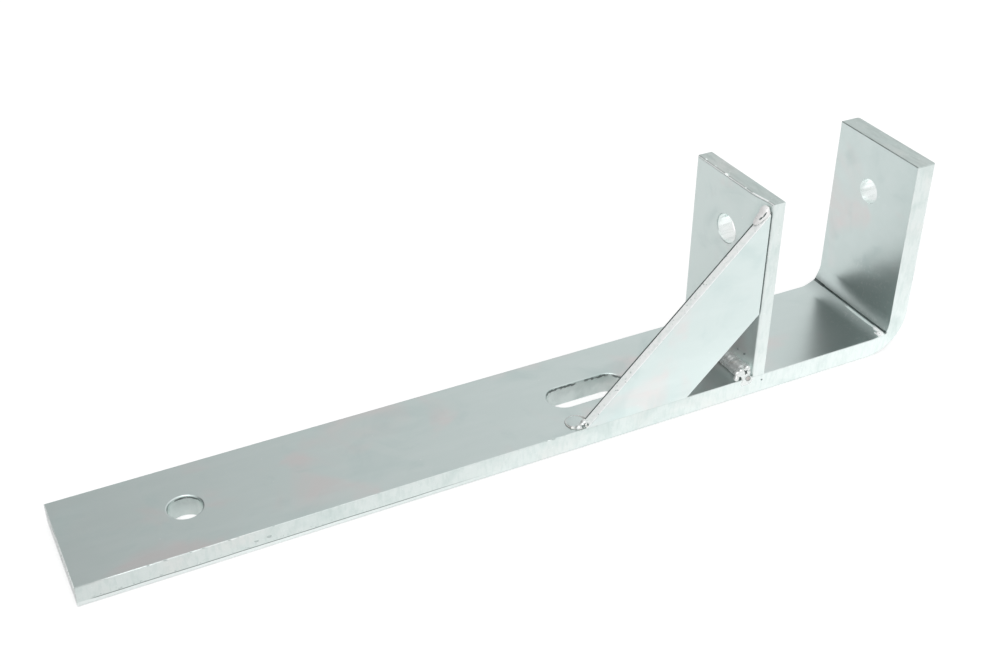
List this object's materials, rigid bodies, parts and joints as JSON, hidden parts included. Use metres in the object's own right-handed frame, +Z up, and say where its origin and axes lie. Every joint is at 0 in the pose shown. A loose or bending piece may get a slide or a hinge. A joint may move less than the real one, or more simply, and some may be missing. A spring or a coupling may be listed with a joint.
{
  "type": "beam anchor",
  "caption": "Welded flat-steel anchor: a long bar with a hole and a slot, ending in a braced fork that a beam sits in and a bolt passes through.",
  "frame": {"origin": "middle of the footprint, on the underside of the bar", "axes": "+X along the bar from its free end to its bent-up end, +Y across the bar away from the brace, +Z up out of the bar on the fork's side"},
  "size_m": [0.3714, 0.0508, 0.0928],
  "materials": {
    "zinc_plate": "bright zinc plating, pale grey with a faint blue-green cast",
    "weld_bead": "rippled weld metal under the same bright zinc plating"
  },
  "bodies": {
    "root": {"bar": "zinc_plate", "ear_plate": "zinc_plate", "brace_plate": "zinc_plate", "brace_toe_weld": "weld_bead", "brace_tip_weld": "weld_bead", "ear_foot_weld": "weld_bead"}
  },
  "joints": []
}
